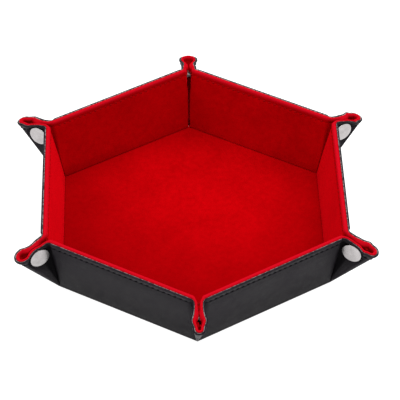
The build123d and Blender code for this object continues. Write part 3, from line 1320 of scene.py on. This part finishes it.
@dataclass(frozen=True)
class EarHalf:
    """Half of an ear: the web from a wall's end crease to the ear's outer fold, as leather and velvet."""

    sizes: TraySizes
    rim: RimShape
    fold: FoldShape
    stitch: Stitch
    curve: EarCurve
    name: str
    turn: float
    side: EarSide
    web_shares: tuple = (0.0, 0.04, 0.1, 0.18, 0.28, 0.38, 0.48, 0.58, 0.67, 0.75, 0.82)
    leather_foot: float = 0.4 * MM
    velvet_foot: float = 0.6 * MM
    thin_share: float = 0.30
    thin_rim_share: float = 0.74
    thin_run: tuple = (0.0, 2.0 * MM)
    thin_drop: tuple = (3.8 * MM, 1.6 * MM)
    slack_rise: tuple = (0.62, 0.95)
    slot_steps: tuple = (0.5, 2.5)
    # Painted shade on the ear's leather next to the wall, and the run along the rim over which it fades.
    fold_shade: float = 0.95
    fold_run: tuple = (6 * MM, 20 * MM)
    # Painted shade on the velvet down in the slot: drops below the rim, and runs where it starts and ends.
    shade_drop: tuple = (4.5 * MM, 2 * MM)
    shade_start: tuple = (0.3 * MM, 2 * MM)
    shade_end: tuple = (3 * MM, 8 * MM)
    flat_share: float = 0.4
    cap_height: float = 1.55 * MM
    seat_margin: float = 0.4 * MM
    seat_ease: float = 0.35 * MM
    seat_least: float = 0.3 * MM
    seam_start: int = 3
    seam_clear: float = 1.5 * MM

    @property
    def body(self) -> str:
        """Name of the half's body."""
        return f"ear_{self.name}_{self.side.word}_half"

    @property
    def mood(self) -> EarMood:
        """How this ear differs from the plain shape."""
        return EAR_MOODS[self.name]

    @property
    def corner(self) -> np.ndarray:
        """Base corner that every ray of the web starts from."""
        return heading(self.turn) * self.sizes.corner_radius + UP * self.sizes.leather

    @property
    def aside(self) -> np.ndarray:
        """Level direction from the ear's middle towards the half's wall."""
        return heading(self.turn + 90 * self.side.value)

    def wall_facing(self) -> np.ndarray:
        """Outward direction of the half's wall."""
        return slope_facing(self.turn + CORNER_TURN / 2 * self.side.value, self.sizes.slope)

    def rim_points(self) -> np.ndarray:
        """Rim of the half from its crease to its tip.

        Returns:
            The rim's points, measured from the base corner.
        """
        size, mood = self.sizes, self.mood
        out = heading(self.turn)
        lean = size.wall_height * math.cos(size.slope)
        rim_middle = out * lean * math.cos(HALF_CORNER) + UP * size.wall_height * math.sin(size.slope)
        rise = size.ear_rise + math.radians(mood.lift)
        tip = (out * math.cos(rise) + UP * math.sin(rise)) * size.ear_length * mood.length
        along = unit(tip - rim_middle)
        reach = float(np.linalg.norm(tip - rim_middle))
        leave = np.cross(self.wall_facing(), np.cross(self.aside, along))
        turn = math.atan2(abs(leave @ self.aside), abs(leave @ along))
        flat = self.curve.flat_points(lean * math.sin(HALF_CORNER), reach, turn, mood)
        return rim_middle + flat[:, :1] * self.aside + flat[:, 1:] * along

    def normals(self, rim: np.ndarray) -> np.ndarray:
        """Outward direction of the web along each ray.

        Args:
            rim: The rim's points.

        Returns:
            One direction for each ray.
        """
        along = np.gradient(rim, axis=0)
        along[0] = rim[1] - rim[0]
        along[-1] = -self.aside
        facing = unit(np.cross(along, rim))
        return facing * np.sign(facing[len(rim) // 2] @ self.aside)

    def end_bend(self) -> float:
        """Angle by which the half turns out of its wall's plane at the crease."""
        return math.acos(min(float(self.normals(self.rim_points())[0] @ self.wall_facing()), 1.0))

    def section(self, slot: Slot) -> Section:
        """Section of one layer along a ray.

        Args:
            slot: Which layer.

        Returns:
            The closed section.
        """
        size, rim = self.sizes, self.rim
        if slot is Slot.LEATHER:
            longest, depth, gap = self.leather_foot, -size.leather, -rim.back_gap
            rim_shown, rim_hidden = rim.leather_rows(size.leather)
        else:
            longest, depth, gap = self.velvet_foot, size.velvet, rim.back_gap
            rim_shown, rim_hidden = rim.velvet_rows(size.velvet)
        feet = [(share, (1 - share / self.web_shares[-1]) * longest) for share in self.web_shares]
        shown = [(share, foot, depth, 1, 0) for share, foot in feet]
        hidden = [(share, foot, gap, 1, 0) for share, foot in feet]
        return Section.from_rows(shown + rim_shown, hidden + rim_hidden)

    def layer_depth(self, section: Section, rim: np.ndarray) -> np.ndarray:
        """Depth of each point of a layer; the velvet is pressed thin past the crease.

        Args:
            section: The layer's rows.
            rim: The rim's points.

        Returns:
            Depths, ray by ray.
        """
        depth = np.tile(section.depth, (len(rim), 1))
        if not section.is_lining:
            return depth
        tall = self.sizes.wall_height
        below = 1 - smooth_step(section.rise(tall), tall - self.thin_drop[0], tall - self.thin_drop[1])
        kept = self.mood.pile * (self.thin_share * below + self.thin_rim_share * (1 - below))
        return depth * (1 - smooth_step(run_along(rim), *self.thin_run)[:, None] * (1 - kept))

    def sheet_grid(self, section: Section) -> np.ndarray:
        """Points of one layer, ray by ray, kept on its own side of the ear's middle.

        Args:
            section: The layer's rows.

        Returns:
            The points.
        """
        rim, mood, curve = self.rim_points(), self.mood, self.curve
        facing, rays = self.normals(rim), unit(rim)
        height = np.linalg.norm(rim, axis=1)
        rises = np.array([section.rise(tall) for tall in height])
        depth = self.layer_depth(section, rim)
        grid = self.corner + rises[..., None] * rays[:, None, :] - depth[..., None] * facing[:, None, :]
        narrow = max(curve.pinch * mood.neck, curve.tip_radius * mood.fold)
        loop = np.maximum((rim @ self.aside) - narrow, 0)
        loop[: curve.bend_steps] = 0
        slack = 1 - smooth_step(rises / height[:, None], *self.slack_rise)
        grid = grid - (loop[:, None] * slack * rises / height[:, None])[..., None] * self.aside
        mitre = unit(self.wall_facing() + facing[0]) / math.cos(self.end_bend() / 2)
        outer = section.depth < 0
        groove = np.where(section.outside, self.fold.crease_groove, 0.0)
        sunk = (section.depth + groove)[outer, None]
        grid[0, outer] = self.corner + rises[0, outer, None] * rays[0] - sunk * mitre
        for ray in range(1, curve.bend_steps):
            fade = float(1 - smooth_step(np.array(ray), 0, curve.bend_steps))
            grid[ray] -= (groove * fade)[:, None] * facing[ray]
        sideways = (grid - self.corner) @ self.aside
        keep_out = 0.5 * self.rim.back_gap
        if section.is_lining:
            ray = np.arange(len(rim))[:, None]
            first, last = (share * curve.bend_steps for share in self.slot_steps)
            open_slot = self.fold.slot * mood.slot * (1 - smooth_step(ray, first, last))
            keep_out = np.maximum(open_slot, self.fold.middle_gap)
        lift = np.maximum(keep_out - sideways, 0)
        return self.pressed(grid + lift[..., None] * self.aside, depth)

    def pressed(self, grid: np.ndarray, depth: np.ndarray) -> np.ndarray:
        """Push the layers in under the snap's cap, so that it sits flat on the leather.

        Args:
            grid: Points of one layer, ray by ray.
            depth: Depth of each point in the layer, towards the ear's inside.

        Returns:
            The points with the seat pressed in.
        """
        distance, seat = self.from_cap(grid)
        seat = seat + np.maximum(distance - self.seat_margin, 0)
        limit = np.maximum(seat - (depth + self.sizes.leather), self.seat_least)
        proud = (grid - self.corner) @ self.aside - limit
        eased = (proud + np.hypot(proud, self.seat_ease)) / 2
        push = np.where(distance < self.seat_margin, np.maximum(proud, 0), eased)
        return grid - push[..., None] * self.aside

    def wear(self, section: Section) -> np.ndarray:
        """Edge values of a layer's points: rubbed along the leather's rim, a painted highlight along the
        velvet's rim, and painted shade on the leather next to the wall and on the velvet down in the slot.

        Args:
            section: The layer's rows.

        Returns:
            One value for each point, ray by ray.
        """
        run = run_along(self.rim_points())
        if not section.is_lining:
            # Leather: painted shade on the shown face next to the wall, fading out along the rim.
            shade = self.fold_shade * (1 - smooth_step(run, *self.fold_run))[:, None]
            return section.edge - shade * section.outside
        # Velvet: painted shade down in the slot, below the rim and a short way past the crease, as strong as
        # the ear's shade.
        tall = self.sizes.wall_height
        below = 1 - smooth_step(section.rise(tall), tall - self.shade_drop[0], tall - self.shade_drop[1])
        deep = smooth_step(run, *self.shade_start) * (1 - smooth_step(run, *self.shade_end))
        return section.edge - self.mood.shade * below * deep[:, None]

    def from_cap(self, points: np.ndarray) -> tuple[np.ndarray, float]:
        """Where points lie from the snap's cap.

        Args:
            points: Places in metres.

        Returns:
            Distance of each point from the cap's edge, and the sideways place of the cap's underside.
        """
        node = frame["nodes"][f"snap_{self.name}_{self.side.word}"]
        snap = np.array([node.matrix_world @ vertex.co for vertex in node.data.vertices]) - self.corner
        outward = heading(self.turn)
        reach, height = snap @ outward, snap[:, 2]
        away = points - self.corner
        out = away @ outward - (reach.min() + reach.max()) / 2
        up = away[..., 2] - (height.min() + height.max()) / 2
        return np.hypot(out, up) - np.ptp(height) / 2, float((snap @ self.aside).max()) - self.cap_height

    def build_seams(self) -> list[tuple[bpy.types.Object, Slot]]:
        """Stitches along the half's rim on both sides.

        Returns:
            Each side's stitches with their slot.
        """
        rim = self.rim_points()
        facing = self.normals(rim)
        base = self.corner + (np.linalg.norm(rim, axis=1) - self.rim.seam_drop)[:, None] * unit(rim)
        made = []
        for word, depth, sign, slot in self.rim.seam_sides(self.sizes):
            line = base - depth * facing
            keep = np.arange(self.seam_start, len(line) - (1 if sign > 0 else self.curve.loop_steps))
            if sign > 0:
                keep = keep[keep > np.argmin(self.from_cap(line)[0])]
                keep = keep[self.from_cap(line[keep])[0] > self.seam_clear]
            name = f"{self.body}_{word}_stitches"
            made.append((self.stitch.sew(name, line[keep], sign * facing[keep]), slot))
        return made

    def build(self, finishes: Finishes) -> list[bpy.types.Object]:
        """Make the half's pieces and tie them to the half's body.

        Args:
            finishes: All materials.

        Returns:
            The pieces.
        """
        pieces = []
        for slot in (Slot.LEATHER, Slot.VELVET):
            section = self.section(slot)
            name = f"{self.body}_{slot.value}"
            pieces.append(closed_sheet(name, self.sheet_grid(section), self.wear(section)))
        leather, velvet = pieces
        finishes.dress_layers(leather, velvet, self.body)
        for piece, slot in self.build_seams():
            dress(piece, finishes.threads[slot])
            pieces.append(piece)
        rim = self.rim_points()
        for piece in pieces:
            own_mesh(piece)
            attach(piece, self.body)
        return pieces


@dataclass(frozen=True)
class Studio:
    """Pale floor, soft light and the camera of the photograph.

    Each lamp is a name, a place in metres, a width in metres and a power in watts.
    """

    distance: float = 1.2883
    elevation: float = 44.15
    swing: float = 2.0
    roll: float = 0.71
    focal_share: float = 5.4408
    aim_right: float = 4.2 * MM
    aim_up: float = 17.3 * MM
    sensor: float = 36.0
    floor_size: float = 12.0
    floor_drop: float = 0.1 * MM
    floor_tone: tuple = (0.40, 0.40, 0.40, 1.0)
    floor_glow: float = 0.85
    white: tuple = (1.0, 1.0, 1.0, 1.0)
    sky: float = 0.55
    lamps: tuple = (
        ("key_light", (0.55, 0.55, 1.0), 0.9, 10.0),
        ("left_fill", (-0.95, 0.1, 0.8), 0.9, 6.0),
        ("top_light", (0.15, -0.25, 1.25), 0.7, 9.0),
        ("front_fill", (0.35, -1.2, 0.55), 1.0, 2.0),
    )

    def build_camera(self) -> None:
        """Camera at the photograph's angle."""
        data = bpy.data.cameras.new("camera")
        data.sensor_width = self.sensor
        data.lens = self.focal_share * self.sensor
        camera = bpy.data.objects.new("camera", data)
        bpy.context.scene.collection.objects.link(camera)
        tilt, swing = math.radians(self.elevation), math.radians(self.swing)
        level = math.cos(tilt)
        toward = Vector((-math.sin(swing) * level, -math.cos(swing) * level, math.sin(tilt)))
        roll = Matrix.Rotation(math.radians(self.roll), 3, "Z")
        facing = (-toward).to_track_quat("-Z", "Y").to_matrix() @ roll
        aim = facing @ Vector((self.aim_right, self.aim_up, -self.distance))
        turned = aim.to_track_quat("-Z", "Y").to_matrix() @ roll
        camera.matrix_world = Matrix.Translation(toward * self.distance) @ turned.to_4x4()
        bpy.context.scene.camera = camera

    def build_lamps(self) -> None:
        """Square soft lights that face the tray."""
        for name, place, size, power in self.lamps:
            data = bpy.data.lights.new(name, "AREA")
            data.size = size
            data.energy = power
            lamp = bpy.data.objects.new(name, data)
            lamp.location = place
            lamp.rotation_euler = (-Vector(place)).to_track_quat("-Z", "Y").to_euler()
            bpy.context.scene.collection.objects.link(lamp)

    def build_floor(self) -> None:
        """Floor that glows like a studio sweep, and can be seen through from below."""
        bpy.ops.mesh.primitive_plane_add(size=self.floor_size, location=(0.0, 0.0, -self.floor_drop))
        floor = bpy.context.object
        floor.name = "studio_floor"
        material, nodes, shader = start_material("pale_floor")
        nodes.fill(shader, {
            "Base Color": self.floor_tone,
            "Roughness": 0.9,
            "Specular IOR Level": 0.0,
            "Emission Color": self.white,
            "Emission Strength": self.floor_glow,
        })
        below = nodes.add("ShaderNodeNewGeometry").outputs["Backfacing"]
        clear = nodes.add("ShaderNodeBsdfTransparent").outputs["BSDF"]
        seen = nodes.add("ShaderNodeMixShader", {0: below, 1: shader.outputs["BSDF"], 2: clear})
        nodes.fill(nodes.tree.nodes["Material Output"], {"Surface": seen.outputs["Shader"]})
        floor.data.materials.append(material)

    def build(self) -> None:
        """Floor, world light, lamps and camera."""
        self.build_floor()
        world = bpy.data.worlds.new("studio")
        world.use_nodes = True
        sky = NodeTree(world.node_tree)
        sky.fill(sky.tree.nodes["Background"], {"Color": self.white, "Strength": self.sky})
        bpy.context.scene.world = world
        self.build_lamps()
        bpy.context.scene.view_settings.view_transform = "Standard"
        self.build_camera()


def dress_cad(finishes: Finishes) -> None:
    """Give the boards and the snaps that stay from the frame their finishes.

    Args:
        finishes: All materials.
    """
    for name, node in frame["nodes"].items():
        if name.endswith("_board"):
            node.data.materials.clear()
            node.data.materials.append(finishes.board)
        if name.startswith("snap_"):
            node.data.materials.clear()
            node.data.materials.append(finishes.nickel)
            node.data.shade_smooth()
            node.data.set_sharp_from_angle(angle=math.radians(SNAP_CRISP))


def main() -> None:
    """Build the studio and every piece of the tray in order."""
    logging.basicConfig(level=logging.INFO, format="%(message)s")
    Studio().build()
    sizes = TraySizes.from_frame()
    finishes = Finishes.make()
    rim, fold, stitch, curve = RimShape(), FoldShape(), Stitch(), EarCurve(sizes)
    halves = [
        EarHalf(sizes, rim, fold, stitch, curve, name, CORNER_TURN * (number + 0.5), side)
        for number, name in enumerate(EAR_NAMES)
        for side in EarSide
    ]
    end_bend = halves[0].end_bend()
    walls = [
        TrayWall(sizes, rim, fold, stitch, name, CORNER_TURN * number, end_bend)
        for number, name in enumerate(WALL_NAMES)
    ]
    for part in [TrayBase(sizes, rim, fold), *walls, *halves]:
        for piece in part.build(finishes):
            LOG.info("piece %s: %d faces", piece.name, len(piece.data.polygons))
    dress_cad(finishes)


if __name__ == "__main__":
    main()
